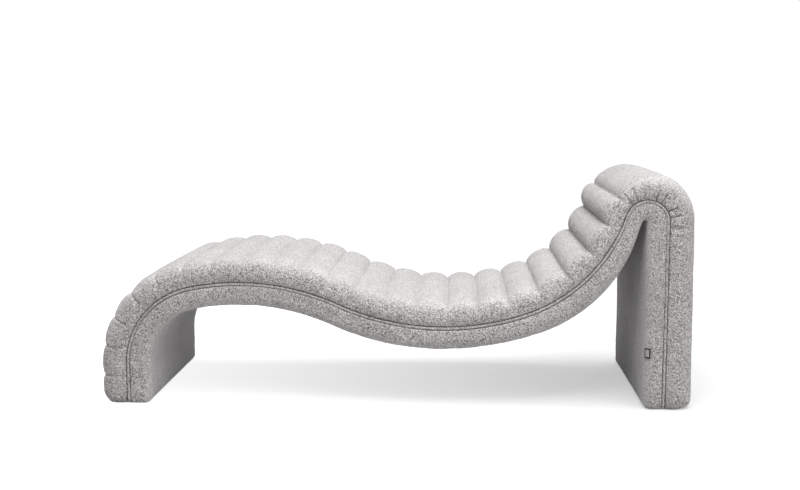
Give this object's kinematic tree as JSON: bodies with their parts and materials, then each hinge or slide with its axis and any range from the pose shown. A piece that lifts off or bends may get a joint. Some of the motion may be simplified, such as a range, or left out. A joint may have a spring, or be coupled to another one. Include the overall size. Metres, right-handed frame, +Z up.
{
  "type": "chaise longue",
  "caption": "Wave-shaped upholstered chaise longue with channel-quilted padding, a short foot leg and a head end that folds over into a tall slab leg.",
  "frame": {"origin": "on the floor under the middle of the whole chaise", "axes": "+X from the foot end to the head end, +Z up, +Y across, away from the pictured side"},
  "size_m": [1.9646, 0.7, 0.7703],
  "materials": {
    "boucle": "light grey looped wool cloth over channelled wadding",
    "boucle_plain": "light grey looped wool cloth, plain",
    "seam_cloth": "flat seam with two rows of stitches",
    "foam": "cut upholstery foam",
    "bent_ply": "bending plywood, raw",
    "frame_ply": "birch plywood, raw",
    "rail_wood": "planed softwood, raw",
    "dust_cloth": "black spun-bond cloth",
    "glide_plastic": "matte",
    "tag_cloth": "woven label, bare"
  },
  "bodies": {
    "root": {"channel_cover": "boucle", "under_cover": "boucle_plain", "side_seam_near": "seam_cloth", "side_seam_far": "seam_cloth", "top_foam": "foam", "top_skin": "bent_ply", "bottom_skin": "bent_ply", "side_frame_near": "frame_ply", "side_frame_far": "frame_ply", "foot_leg_rails": "rail_wood", "body_rails": "rail_wood", "head_leg_rails": "rail_wood", "foot_base_board": "rail_wood", "head_base_board": "rail_wood", "foot_corner_blocks": "rail_wood", "head_corner_blocks": "rail_wood", "foot_dust_cover": "dust_cloth", "head_dust_cover": "dust_cloth", "foot_glides": "glide_plastic", "head_glides": "glide_plastic", "blank_tag": "tag_cloth"}
  },
  "joints": []
}
